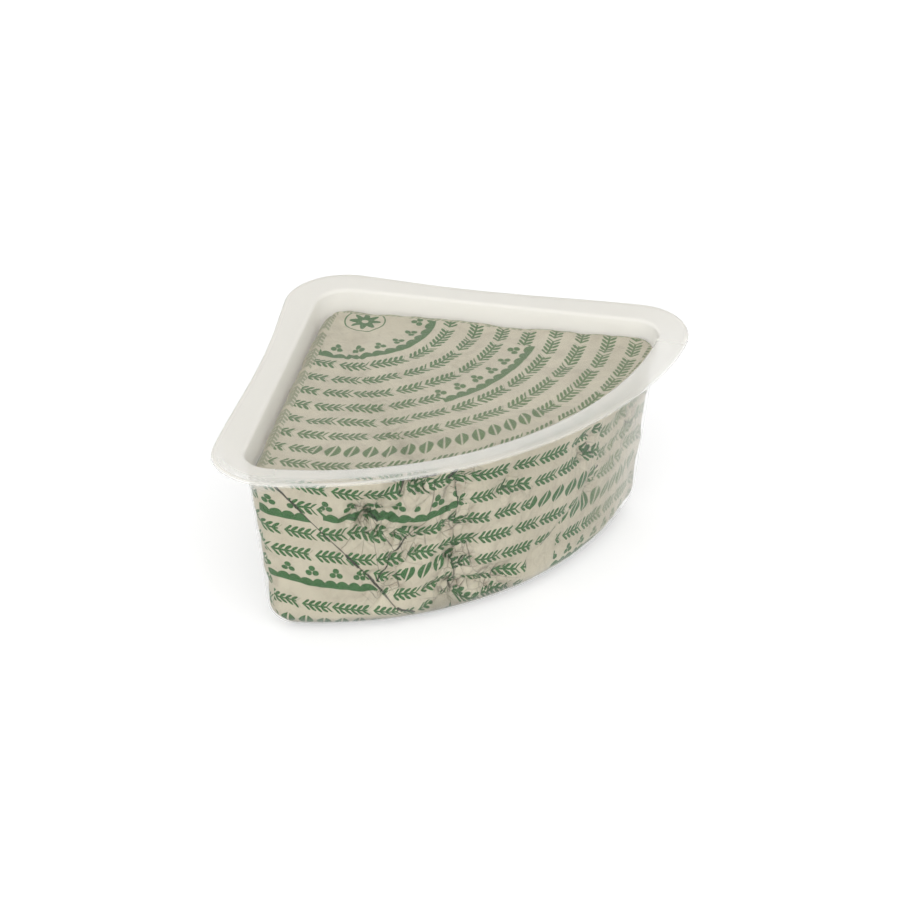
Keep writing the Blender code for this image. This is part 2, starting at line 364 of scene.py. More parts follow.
def step_length(aside, above):
    """The length of a step, from the readings of its two parts."""
    return (aside * aside + above * above).worked("SQRT")


def with_inputs(node, inputs):
    """A node with its inputs set to plain values, or linked to readings and to other nodes' sockets."""
    for name, value in inputs.items():
        value = getattr(value, "socket", value)
        if isinstance(value, bpy.types.NodeSocket):
            node.id_data.links.new(value, node.inputs[name])
        else:
            node.inputs[name].default_value = value
    return node


def added(tree, kind, inputs, **settings):
    """A new node with its settings and its inputs."""
    node = tree.nodes.new(kind)
    for name, value in settings.items():
        setattr(node, name, value)
    return with_inputs(node, inputs)


def kept_reading(tree, name):
    """A number kept at the points of a piece, as its material reads it."""
    return Reading(tree, added(tree, "ShaderNodeAttribute", {}, attribute_name=name).outputs["Fac"])


def mixed(tree, share, first, second):
    """One colour going over to another by a reading's share."""
    node = added(tree, "ShaderNodeMix", {"Factor": share}, data_type="RGBA")
    for name, colour in (("A", first), ("B", second)):
        socket = next(s for s in node.inputs if s.name == name and s.type == "RGBA")
        if isinstance(colour, tuple):
            socket.default_value = (*colour, 1.0)
        else:
            tree.links.new(colour, socket)
    return next(s for s in node.outputs if s.type == "RGBA")


def new_finish(name):
    """A new material, with its nodes and the one among them that is its surface."""
    material = bpy.data.materials.new(name)
    material.use_nodes = True
    return material, material.node_tree, material.node_tree.nodes["Principled BSDF"]


CLEAR_SHEET = (0.998, 0.998, 0.995)
MILKY_SHEET = (0.872, 0.856, 0.806)
CLEAR_WALL = 1.0
CLEAR_RIM = 0.48
HAZE_TOUCHED = 0.02
HAZE_FREE = 0.04
MILKY_HAZE = 0.30
SHEET_INDEX = 1.16

tray_plastic, tree, surface = new_finish("milky_polypropylene")
milkiness = kept_reading(tree, "milky")
haze = kept_reading(tree, "touched") * (HAZE_TOUCHED - HAZE_FREE) + HAZE_FREE
with_inputs(surface, {
    "IOR": SHEET_INDEX,
    "Base Color": mixed(tree, milkiness, CLEAR_SHEET, MILKY_SHEET),
    "Roughness": haze + milkiness * MILKY_HAZE,
    "Transmission Weight": milkiness * (CLEAR_RIM - CLEAR_WALL) + CLEAR_WALL,
})
formed_tray.data.materials.append(tray_plastic)
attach(formed_tray, "root")
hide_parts("tray")

# The wedge in its foil
# An eighth of a wheel of soft blue cheese, wrapped in a coated foil sheet that is pressed flat over the top
# and folded down the sides. The wrap is one skin with rounded edges, and its folds step in and out of the
# surface. The tray presses it flat, so that it is crumpled hard only where the folds meet.

FOIL_GAP = 0.00012
CHEESE_TOP = 0.0898
SOFT_EDGE_RADIUS = 0.0080
CRISP_EDGE_RADIUS = 0.0040
CRISP_CORNER = 0.110
CHEESE_TOP_CORNER_RADIUS = 0.0095
CHEESE_TOP_APEX_RADIUS = 0.0160
TOUCHING_GAP = 0.00012
FOIL_STEPS = {"apex": 10, "side": 46, "corner": 14, "front": 190}
FOIL_EDGE_STEPS = 12
FOIL_WALL_STEPS = 92
FOIL_TOP_RINGS = 38
FOIL_BOTTOM_RINGS = 6
MILLIMETRES = 1000.0

# The folds on the round side: each place is a distance from its middle and a height
WALL_ARC_RADIUS = 0.159
ROUND_SIDE_STARTS = 0.72
ROUND_SIDE_FADE = 0.09
LEFT_FLAP_EDGE = ((-0.1085, 0.0855), (-0.0572, 0.0123))
RISING_FOLD = ((-0.0654, 0.0281), (-0.0399, 0.0844))
RIGHT_FOLD_EDGE = ((0.0235, 0.0252), (0.0609, 0.0478))
RIGHT_FOLD_FOOT = 0.0155
RIGHT_FOLD_HEAD = 0.0600
MIDDLE_CREASE = -0.0265
CREASE_WIDTH = 0.0026
FLAP_STEP = 0.0008
FLAP_STEP_FADE = 0.020
RISING_STEP = 0.0006
MIDDLE_STEP = 0.0009
RIGHT_FOLD_DEPTH = 0.0011
RIGHT_END_DEPTH = 0.0010

# Where the foil is crumpled hard: place on the round side, radius, and strength
CRUMPLED_SPOTS = (
    (-0.0675, 0.0640, 0.012, 1.0),
    (-0.0460, 0.0840, 0.013, 0.9),
    (-0.0265, 0.0800, 0.011, 0.9),
    (-0.0265, 0.0580, 0.011, 0.9),
    (-0.0255, 0.0330, 0.012, 0.9),
    (-0.0250, 0.0120, 0.014, 1.0),
    (-0.0500, 0.0480, 0.011, 0.9),
    (-0.0600, 0.0250, 0.010, 0.8),
    (0.0000, 0.0660, 0.012, 0.5),
    (-0.0060, 0.0130, 0.016, 0.7),
    (0.0480, 0.0690, 0.011, 0.8),
    (0.0560, 0.0430, 0.008, 0.6),
    (0.0980, 0.0600, 0.024, 0.55),
)
CALM_SHARE = 0.13


def above_line(across, height, line):
    """Distance of a place on the round side from a fold's edge, positive above the edge."""
    (start_s, start_z), (end_s, end_z) = line
    along = (end_s - start_s, end_z - start_z)
    return ((height - start_z) * along[0] - (across - start_s) * along[1]) / math.hypot(*along)


def behind(distance):
    """The share of a fold's step at a distance behind its edge: full close by, and fading further on."""
    return eased(distance / CREASE_WIDTH) * np.exp(-np.maximum(distance, 0) / FLAP_STEP_FADE)


def fold_relief(points, directions, heights):
    """How far the foil stands out at points of an outline: it sinks behind the folds' edges."""
    on_round_side = eased((directions[:, 0] - ROUND_SIDE_STARTS) / ROUND_SIDE_FADE)
    across = np.arctan2(points[:, 1], points[:, 0]) * WALL_ARC_RADIUS
    in_centre = eased((MIDDLE_CREASE - across) / CREASE_WIDTH)
    past_edge = eased(1.0 - above_line(across, heights, RIGHT_FOLD_EDGE) / CREASE_WIDTH)
    past_foot = eased(1.0 + (across - RIGHT_FOLD_FOOT) / CREASE_WIDTH)
    past_head = eased(1.0 + (across - RIGHT_FOLD_HEAD) / CREASE_WIDTH)
    right_end = eased((across - RIGHT_FOLD_HEAD) / RIGHT_FOLD_HEAD)
    sunk = RIGHT_FOLD_DEPTH * np.maximum(past_edge * past_foot, past_head) + RIGHT_END_DEPTH * right_end
    sunk = sunk + FLAP_STEP * behind(above_line(across, heights, LEFT_FLAP_EDGE))
    sunk = sunk + RISING_STEP * behind(-above_line(across, heights, RISING_FOLD)) * in_centre
    sunk = sunk + MIDDLE_STEP * behind(across - MIDDLE_CREASE)
    return -on_round_side * sunk


def crumple_strength(across, heights, facing_front):
    """How hard the foil is crumpled: a little everywhere, and hard at the spots on the round side."""
    strength = np.full(len(across), CALM_SHARE)
    for spot_s, spot_z, radius, share in CRUMPLED_SPOTS:
        distance = ((across - spot_s) ** 2 + (heights - spot_z) ** 2) / radius**2
        strength = np.maximum(strength, facing_front * share * np.exp(-distance))
    return strength


def along_walls(points):
    """Distance along the wedge's walls from the middle of the round side, for each column of the outline."""
    middle = int(np.argmax(points[:, 0] - np.abs(points[:, 1])))
    steps = np.linalg.norm(np.diff(points, axis=0), axis=1)
    distance = np.concatenate([[0.0], np.cumsum(steps)])
    return distance - distance[middle]


def foil_rings():
    """The wrap's rings from the middle of its base to that of its top, and the part that each is on."""
    base = SHEET_THICKNESS + TOUCHING_GAP
    base_radius = BASE_EDGE_RADIUS - FOIL_GAP + TOUCHING_GAP
    quarter = np.linspace(0, math.pi / 2, FOIL_EDGE_STEPS + 1)
    rings, regions = [], []

    def outline(height, edge_inset, top_share):
        corner = MOUTH_CORNER_RADIUS + (CHEESE_TOP_CORNER_RADIUS - MOUTH_CORNER_RADIUS) * top_share
        apex = MOUTH_APEX_RADIUS + (CHEESE_TOP_APEX_RADIUS - MOUTH_APEX_RADIUS) * top_share
        return wall_outline(height, FOIL_GAP - SHEET_THINNED, edge_inset, FOIL_STEPS, corner, apex)

    def add_side(points, directions, offset, height):
        rings.append(placed(points + directions * offset[:, None], height))
        regions.append("side")

    first, _ = outline(base, base_radius, 0.0)
    centre = first.mean(axis=0)
    for step in range(1, FOIL_BOTTOM_RINGS):
        rings.append(placed(centre + (first - centre) * step / FOIL_BOTTOM_RINGS, base))
        regions.append("base")
    for angle in quarter:
        rise = base_radius * (1 - math.cos(angle))
        points, directions = outline(base + rise, base_radius * (1 - math.sin(angle)), 0.0)
        relief = fold_relief(points, directions, base + rise) * eased(rise / base_radius)
        add_side(points, directions, relief, base + rise)
    foot, head = base + base_radius, CHEESE_TOP - SOFT_EDGE_RADIUS
    for step in range(1, FOIL_WALL_STEPS):
        height = foot + (head - foot) * step / FOIL_WALL_STEPS
        points, directions = outline(height, 0.0, 0.0)
        add_side(points, directions, fold_relief(points, directions, height), height)
    for angle in quarter:
        inset, rise = 1 - math.cos(angle), 1 - math.sin(angle)
        height = CHEESE_TOP - SOFT_EDGE_RADIUS * rise
        points, directions = outline(height, 0.0, inset)
        crisp = eased(points[:, 1] / CRISP_CORNER)
        radii = SOFT_EDGE_RADIUS + (CRISP_EDGE_RADIUS - SOFT_EDGE_RADIUS) * crisp
        offset = fold_relief(points, directions, height) * eased(rise) - radii * inset
        add_side(points, directions, offset, CHEESE_TOP - radii * rise)
    last = rings[-1]
    centre = last.mean(axis=0)
    for step in range(1, FOIL_TOP_RINGS):
        rings.append(centre + (last - centre) * (1 - step / FOIL_TOP_RINGS))
        regions.append("top")
    return rings, regions


def up_walls(rings, regions):
    """Distance up the walls and over the edges, for each ring and column: at the foot it is the height."""
    up = np.zeros((len(rings), len(rings[0])))
    side = [number for number, region in enumerate(regions) if region == "side"]
    foot = side[0] + FOIL_EDGE_STEPS
    up[foot] = rings[foot][:, 2]
    for number in range(foot + 1, side[-1] + 1):
        up[number] = up[number - 1] + np.linalg.norm(rings[number] - rings[number - 1], axis=1)
    for number in range(foot - 1, side[0] - 1, -1):
        up[number] = up[number + 1] - np.linalg.norm(rings[number + 1] - rings[number], axis=1)
    return up


def lay_print_map(mesh, count, regions, along, closing_step, up):
    """Gives the skin its print map, in millimetres: along and up the walls, and flat on top and base."""
    corners = np.empty(len(mesh.loops), dtype=np.int32)
    mesh.loops.foreach_get("vertex_index", corners)
    totals = np.empty(len(mesh.polygons), dtype=np.int32)
    mesh.polygons.foreach_get("loop_total", totals)
    starts = np.concatenate([[0], np.cumsum(totals)[:-1]])
    face = np.repeat(np.arange(len(totals)), totals)
    columns = corners % count
    rows = np.maximum.reduceat(corners, starts) // count
    on_side = np.array([region == "side" for region in regions] + [False])[np.minimum(rows, len(regions))]
    wraps = np.maximum.reduceat(columns, starts) - np.minimum.reduceat(columns, starts) > 1

    places = np.array([vertex.co for vertex in mesh.vertices])
    spots = np.column_stack([places[corners, 0], MIDDLE - places[corners, 1]])
    ups = np.append(up.ravel(), [0.0, 0.0])
    around = np.where(wraps[face] & (columns == 0), along[-1] + closing_step, along[columns])
    spots = np.where(on_side[face][:, None], np.column_stack([around, ups[corners]]), spots)
    mesh.uv_layers.new(name="print").data.foreach_set("uv", (spots * MILLIMETRES).ravel())
    side = mesh.attributes.new("on_side", "BOOLEAN", "FACE")
    side.data.foreach_set("value", on_side)


# The crumpling is for what faces the round side, and starts a little above the table
FRONT_STARTS = 0.3
PRESSED_FLAT_TO = 0.0015
PRESSED_FLAT_FADE = 0.006

rings, regions = foil_rings()
base_middle = np.append(rings[0].mean(axis=0)[:2], rings[0][0][2])
top_middle = np.append(rings[-1].mean(axis=0)[:2], rings[-1][0][2])
wrap_mesh = rings_mesh("foil_wrap", rings, [base_middle, top_middle])
top_radii = (CHEESE_TOP_CORNER_RADIUS, CHEESE_TOP_APEX_RADIUS)
wall_points, _ = wall_outline(PACK_HEIGHT / 2, FOIL_GAP - SHEET_THINNED, 0.0, FOIL_STEPS, *top_radii)
along = along_walls(wall_points)
closing_step = float(np.linalg.norm(wall_points[0] - wall_points[-1]))
lay_print_map(wrap_mesh, len(rings[0]), regions, along, closing_step, up_walls(rings, regions))

places = np.array([vertex.co for vertex in wrap_mesh.vertices])
normals = np.array([vertex.normal for vertex in wrap_mesh.vertices])
across = np.arctan2(places[:, 0], MIDDLE - places[:, 1]) * WALL_ARC_RADIUS
facing_front = eased((-normals[:, 1] - FRONT_STARTS) / FRONT_STARTS)
off_the_table = eased((places[:, 2] - PRESSED_FLAT_TO) / PRESSED_FLAT_FADE)
point_reading(wrap_mesh, "across", across)
point_reading(wrap_mesh, "crumple", crumple_strength(across, places[:, 2], facing_front) * off_the_table)
foil_wrap = linked("foil_wrap", wrap_mesh)

# The print's rows, in millimetres: ears of slanted leaves in groups, large veined leaves, and a scalloped
# border with berries
ROW_PITCH = 12.4
GROUP_PITCH = 34.5
GROUP_MIDDLES = (7.0, 23.9)
GROUP_HALVES = (6.1, 8.6)
LEAF_PITCH = 2.9
LEAF_HEIGHT = 3.4
LEAF_HALF_WIDTH = 1.32
LEAF_FULLNESS = 1.45
LEAF_ROOT = 0.25
LEAF_SLANT = 0.85
STEM_HALF_WIDTH = 0.55
BIG_PITCH = 8.6
BIG_HALF_HEIGHT = 4.8
BIG_HALF_WIDTH = 3.5
BIG_SLANT = 0.38
VEIN_HALF_WIDTH = 0.45
BORDER_FOOT = -4.2
BORDER_HALF_STRIP = 1.5
SCALLOP_PITCH = 5.6
SCALLOP_RADIUS = 3.1
BERRY_PITCH = 11.2
BERRY_SPREAD = 1.6
BERRY_RADIUS = 1.5
BERRY_HEIGHT = 2.0
TOP_BERRY_RISE = 2.6


def leaf_ears(along, above, softness):
    """Groups of paired leaves that lean forward from a thin stem."""
    height = abs(above)
    leaning = along - height * LEAF_SLANT
    in_group = leaning.worked("FLOORED_MODULO", GROUP_PITCH)
    outside = [abs(in_group - middle) - half for middle, half in zip(GROUP_MIDDLES, GROUP_HALVES)]
    share = (height / LEAF_HEIGHT).least(1.0)
    width = share.against(1.0).worked("SQRT") * (share + LEAF_ROOT) * (LEAF_FULLNESS * LEAF_HALF_WIDTH)
    in_cell = in_group.worked("FLOORED_MODULO", LEAF_PITCH) - LEAF_PITCH / 2
    leaf = (abs(in_cell) - width).most(height - LEAF_HEIGHT)
    stem = height - STEM_HALF_WIDTH
    return leaf.least(stem).most(outside[0].least(outside[1])).inked(softness)


def large_leaves(along, above, softness):
    """Broad leaning leaves with an open vein."""
    in_cell = along.worked("FLOORED_MODULO", BIG_PITCH) - BIG_PITCH / 2
    leaning = abs(in_cell - above * BIG_SLANT)
    share = above / BIG_HALF_HEIGHT
    leaf = leaning - (share * share).against(1.0) * BIG_HALF_WIDTH
    return leaf.most(leaning.against(VEIN_HALF_WIDTH)).inked(softness)


def scalloped_border(along, above, softness):
    """A strip with a row of scallops on it, and clusters of three berries over them."""
    strip = abs(above - BORDER_FOOT) - BORDER_HALF_STRIP
    in_scallop = along.worked("FLOORED_MODULO", SCALLOP_PITCH) - SCALLOP_PITCH / 2
    rise = above - BORDER_FOOT
    scallop = step_length(in_scallop, rise) - SCALLOP_RADIUS
    scallop = scallop.most(rise.against(0.0))
    in_cluster = abs(along.worked("FLOORED_MODULO", BERRY_PITCH) - BERRY_PITCH / 2)
    aside, lift = in_cluster - BERRY_SPREAD, above - BERRY_HEIGHT
    berry = step_length(aside, lift) - BERRY_RADIUS
    lift = lift - TOP_BERRY_RISE
    berry = berry.least(step_length(in_cluster, lift) - BERRY_RADIUS)
    return strip.least(scallop).least(berry).inked(softness)


def printed_rows(along, above, large, bordered, softness):
    """The ink of one kind of row at each place, by what that row holds there."""
    plain = (large + bordered).against(1.0).most(0.0)
    ink = leaf_ears(along, above, softness) * plain
    ink = ink + large_leaves(along, above, softness) * large
    return ink + scalloped_border(along, above, softness) * bordered


def row_number(reading, pitch):
    """The row that a distance falls in, and the distance above that row's middle."""
    row = (reading / pitch + 0.5).worked("FLOOR")
    return row, reading - row * pitch


def print_place(tree):
    """The two readings of the print's place, in millimetres."""
    place = added(tree, "ShaderNodeUVMap", {}, uv_map="print").outputs["UV"]
    split = added(tree, "ShaderNodeSeparateXYZ", {"Vector": place})
    return Reading(tree, split.outputs["X"]), Reading(tree, split.outputs["Y"])


def noise_reading(tree, coordinates, per_metre, detail, distortion=0.0):
    """A soft random reading around a half."""
    inputs = {"Scale": per_metre, "Detail": detail, "Distortion": distortion, "Vector": coordinates}
    return Reading(tree, added(tree, "ShaderNodeTexNoise", inputs).outputs["Fac"])


def crease_reading(tree, coordinates, per_metre):
    """Distance to the nearest of a net of random creases."""
    inputs = {"Scale": per_metre, "Vector": coordinates}
    node = added(tree, "ShaderNodeTexVoronoi", inputs, feature="DISTANCE_TO_EDGE")
    return Reading(tree, node.outputs["Distance"])


def facet_shift(tree, coordinates, per_metre):
    """Two readings from -0.5 to 0.5 that change from one small facet of the foil to the next."""
    facets = added(tree, "ShaderNodeTexVoronoi", {"Scale": per_metre, "Vector": coordinates})
    split = added(tree, "ShaderNodeSeparateColor", {"Color": facets.outputs["Color"]})
    return Reading(tree, split.outputs[0]) - 0.5, Reading(tree, split.outputs[1]) - 0.5


# Colours are linear: the coated foil where it is clean and a little darker in random patches, the painted
# shade of its crumpled spots, the green ink fresh and paled, and the painted shade in a crease
FOIL_CLEAN = (0.580, 0.533, 0.414)
FOIL_SHADED = (0.502, 0.460, 0.352)
FOIL_CRUMPLE_SHADE = (0.305, 0.240, 0.176)
INK_FRESH = (0.036, 0.128, 0.036)
INK_PALED = (0.155, 0.205, 0.082)
CREASE_SHADE = (0.022, 0.026, 0.017)
PATCHES_PER_METRE = 21.0
SHADE_BLOTCHES_PER_METRE = 62.0
WIDE_CREASES_PER_METRE = 75.0
FINE_CREASES_PER_METRE = 210.0
WIDE_CREASE_EDGE = 0.034
FINE_CREASE_EDGE = 0.062
WIDE_CREASE_DEPTH = 0.12
FINE_CREASE_DEPTH = 0.16
LINE_DARKNESS = 0.80
PRESSED_LINE_DARKNESS = 0.22
WRINKLE_SHARES = {"wide": 1.3, "fine": 0.35, "patches": 0.2, "crumpled": 2.2}
WRINKLE_STRENGTH = 0.75
WRINKLE_HEIGHT = 0.0011
FOIL_ROUGHNESS = (0.25, 0.36)
FOIL_METALLIC = 0.12

# How a random reading is stretched to a share: the gain, and what is then taken off
PATCH_STRETCH = (2.4, 0.75)
SHADE_BLOTCH_STRETCH = (6.0, 3.2)
BREAK_STRETCH = (4.5, 1.5)
CRUMPLE_SHADE_WHERE_CRUMPLED = (1.1, -0.16)
CRUMPLE_SHADE_DARKNESS = 0.75
WIDE_WHERE_CRUMPLED = (2.0, 0.16)
FINE_WHERE_CRUMPLED = (1.7, 0.42)


def foil_material(name, lay_print):
    """The coated foil: matt, slightly uneven beige, finely creased, with painted crease shade and the print
    of lay_print.
    """
    material, tree, surface = new_finish(name)
    coordinates = tree.nodes.new("ShaderNodeTexCoord").outputs["Object"]
    crumple = kept_reading(tree, "crumple")
    crease = kept_reading(tree, "crease")

    ink, paled, shade = lay_print(tree, crumple)
    patches = noise_reading(tree, coordinates, PATCHES_PER_METRE, 3.0, 0.4)
    shade_blotches = noise_reading(tree, coordinates, SHADE_BLOTCHES_PER_METRE, 4.0, 1.6)
    beige = mixed(tree, patches.stretched(*PATCH_STRETCH), FOIL_CLEAN, FOIL_SHADED)
    # Painted shade: darker brown blotches where the foil is crumpled
    crumple_shade = shade_blotches.stretched(*SHADE_BLOTCH_STRETCH) * crumple.stretched(*CRUMPLE_SHADE_WHERE_CRUMPLED) * CRUMPLE_SHADE_DARKNESS
    beige = mixed(tree, crumple_shade, beige, FOIL_CRUMPLE_SHADE)
    colour = mixed(tree, ink, beige, mixed(tree, paled, INK_FRESH, INK_PALED))
    wide = crease_reading(tree, coordinates, WIDE_CREASES_PER_METRE)
    fine = crease_reading(tree, coordinates, FINE_CREASES_PER_METRE)
    # Painted shade along the creases, darker where the foil is crumpled and broken up by the blotches
    wide_line = (wide / WIDE_CREASE_EDGE).against(1.0).held() * crumple.stretched(*WIDE_WHERE_CRUMPLED)
    fine_line = (fine / FINE_CREASE_EDGE).against(1.0).held() * crumple.stretched(*FINE_WHERE_CRUMPLED)
    lines = (wide_line.most(fine_line) * LINE_DARKNESS).most(crease * PRESSED_LINE_DARKNESS)
    lines = lines * shade_blotches.stretched(*BREAK_STRETCH)

    wide, fine = wide.least(WIDE_CREASE_DEPTH), fine.least(FINE_CREASE_DEPTH)
    wrinkle = wide * WRINKLE_SHARES["wide"] + fine * WRINKLE_SHARES["fine"]
    wrinkle = wrinkle + patches * WRINKLE_SHARES["patches"] + fine * crumple * WRINKLE_SHARES["crumpled"]
    bump = added(tree, "ShaderNodeBump", {
        "Strength": WRINKLE_STRENGTH, "Distance": WRINKLE_HEIGHT, "Height": wrinkle
    })
    with_inputs(surface, {
        "Base Color": mixed(tree, shade.most(lines), colour, CREASE_SHADE),
        "Normal": bump.outputs["Normal"],
        "Roughness": patches * FOIL_ROUGHNESS[0] + FOIL_ROUGHNESS[1],
        "Metallic": FOIL_METALLIC,
    })
    return material


# The top's print: rows on arcs about a middle near the apex, with a rosette in the middle
ARC_MIDDLE_ACROSS = 4.6
ARC_MIDDLE_FROM_APEX = 21.2
ARC_FIRST_RADIUS = 45.4
ARC_PITCH = 12.78
TOP_LARGE_ROW = 6
TOP_LARGE_SPAN = (-0.72, 0.21)
TOP_BORDER_ROW = 3
TOP_BORDER_SPAN = (-0.08, 0.68)
APEX_BORDER_ROW = -1
ROSETTE_ACROSS = 1.8
ROSETTE_OUTWARD = 5.0
ROSETTE_RADIUS = 6.0
ROSETTE_PETALS = 8
ROSETTE_DEPTH = 1.7
ROSETTE_CORE = 1.6
RING_RADIUS = 9.6
RING_HALF_WIDTH = 0.35
ROSETTE_SOFTNESS = 0.3
ARC_ROW_SHIFT = 11.0
TOP_SOFTNESS = (0.0034, 0.25)
# Painted reflection: the top's ink pales towards the front, where the film reflects the surround
TOP_REFLECTION_AT = 260.0
TOP_INK = 0.96


def top_print(tree, crumple):
    """Ink, its paling towards the front by a painted reflection, and no crease shade, on the top."""
    across, from_apex = print_place(tree)
    across = across - ARC_MIDDLE_ACROSS
    outward = from_apex - ARC_MIDDLE_FROM_APEX
    radius = step_length(across, outward)
    angle = across.worked("ARCTAN2", outward)
    row, beyond = row_number(radius - ARC_FIRST_RADIUS, ARC_PITCH)
    middle_radius = row * ARC_PITCH + ARC_FIRST_RADIUS
    along = angle * middle_radius + row * ARC_ROW_SHIFT
    above = beyond.against(0.0)
    large = row.is_about(TOP_LARGE_ROW) * angle.is_between(*TOP_LARGE_SPAN)
    bordered = row.is_about(TOP_BORDER_ROW) * angle.is_between(*TOP_BORDER_SPAN)
    bordered = bordered + row.is_about(APEX_BORDER_ROW)
    softness = from_apex * TOP_SOFTNESS[0] + TOP_SOFTNESS[1]
    ink = printed_rows(along, above, large, bordered, softness)
    ink = ink * row.is_over(APEX_BORDER_ROW - 0.5)

    aside, beyond = across - ROSETTE_ACROSS, outward - ROSETTE_OUTWARD
    reach = step_length(aside, beyond)
    petals = (aside.worked("ARCTAN2", beyond) * ROSETTE_PETALS).worked("COSINE")
    petals = petals * ROSETTE_DEPTH + ROSETTE_RADIUS
    rosette = (reach - petals).inked(ROSETTE_SOFTNESS) * reach.against(ROSETTE_CORE).inked(ROSETTE_SOFTNESS)
    ring = (abs(reach - RING_RADIUS) - RING_HALF_WIDTH).inked(ROSETTE_SOFTNESS)
    ink = ink.most(rosette).most(ring)
    return ink * TOP_INK, (from_apex / TOP_REFLECTION_AT).held(), crumple * 0.0


# The sides' print, in millimetres: rows that change slope from one folded panel to the next. Row 0 has
# the height "row" at the distance "from", and all the print under the row "over_gap" is lowered by "drop".
ROUND_SIDE_END = 118.0
PANEL_LEFT = {"slope": 0.194, "from": -100.0, "row": 60.0, "border": -2, "over_gap": -2, "drop": 5.2}
PANEL_CENTRE = {"bow": 0.0046, "from": -57.0, "row": 79.0, "border": -1, "over_gap": -3, "drop": -3.2}
CENTRE_BORDER_FROM = -89.5
PANEL_FRONT = {"slope": 0.045, "from": -26.0, "row": 80.4}
PANEL_RIGHT = {"slope": 0.055, "from": 60.0, "row": 34.5, "border": -2}
PANEL_STRAIGHT = {"row": 91.5}
RISING_SHIFT = (4.3, 1.7)
PLAIN_PATCH = ((15.6, 34.0), (1.5, 27.0))
TOP_EDGE_FROM = 84.0
TOP_EDGE_OVER = 3.0
FOOT_SHADE_HEIGHT = 8.5
FOOT_SHADE = 0.62
FACETS_PER_METRE = 150.0
FACET_SHIFT = (6.5, 3.2)
FACETS_WHERE_CRUMPLED = (1.6, 0.5)
ROW_SHIFT = 13.0
PANEL_SHIFTS = {"left": 5.0, "centre": 17.0, "right": 9.0}
FRONT_LARGE_FROM = 13.0
CENTRE_LARGE_FROM = -53.0
HAZY_FROM = 54.0
HAZY_OVER = 16.0
SIDE_SOFTNESS = 0.25
HAZY_SOFTNESS = 1.1
HAZY_FAINTER = 0.12
HAZY_PALED = (0.55, 0.05)
TOP_EDGE_FAINTER = 0.5
GAP_UNEVEN_PER_METRE = 170.0
GAP_UNEVEN = 1.5
GAP_SOFTNESS = 0.34

# The painted shade in the gaps that the folds leave and along a star of creases, as chains on the round
# side: the first place, and then each next place with half the line's width and how dark it is on the way
# there
STAR_MIDDLE = (-67.9, 64.2)
GAP_SHADE_LINES = (
    ((-109.5, 86.5), (-98.7, 71.2, 0.54, 0.93), (-79.8, 45.7, 0.26, 0.93), (-74.5, 38.6, 0.58, 0.95),
     (-70.1, 32.7, 0.22, 0.88), (-63.2, 22.0, 0.40, 0.95), (-57.2, 12.3, 0.26, 0.83)),
    ((-56.0, 11.0), (-48.0, 6.0, 0.72, 0.93)),
    ((-65.4, 28.1), (-60.8, 37.5, 0.38, 0.93), (-57.0, 44.5, 0.22, 0.83), (-50.7, 50.4, 0.42, 0.95),
     (-41.1, 61.8, 0.19, 0.68), (-36.9, 81.4, 0.26, 0.63)),
    ((-54.8, 78.6), (-46.8, 84.6, 0.48, 0.83), (-36.9, 86.2, 0.75, 0.93)),
    ((-30.6, 82.5), (-26.6, 86.5, 0.75, 0.93)),
    ((-27.5, 80.0), (-26.0, 60.0, 0.42, 0.83)),
    ((-26.4, 60.0), (-25.6, 34.0, 0.22, 0.68), (-24.9, 9.0, 0.32, 0.73)),
    (STAR_MIDDLE, (-82.3, 48.8, 0.16, 0.68)), (STAR_MIDDLE, (-73.2, 44.5, 0.13, 0.58)),
    (STAR_MIDDLE, (-65.1, 35.8, 0.14, 0.58)), (STAR_MIDDLE, (-56.3, 44.4, 0.21, 0.73)),
    (STAR_MIDDLE, (-73.9, 77.1, 0.14, 0.58)), (STAR_MIDDLE, (-62.2, 80.9, 0.21, 0.68)),
    ((-70.5, 66.5), (-64.5, 61.5, 0.45, 0.88)),
    ((23.5, 25.2), (40.7, 38.0, 0.22, 0.93), (55.0, 45.2, 0.42, 0.95), (61.5, 52.5, 0.58, 0.88)),
    ((118.0, 80.0), (122.0, 89.0, 0.75, 0.83)),
)


def from_segment(along, height, start, end):
    """Distance from a straight line between two places."""
    run, rise = end[0] - start[0], end[1] - start[1]
    length = math.hypot(run, rise)
    aside, above = along - start[0], height - start[1]
    share = (aside * (run / length**2) + above * (rise / length**2)).held()
    return step_length(aside - share * run, above - share * rise)


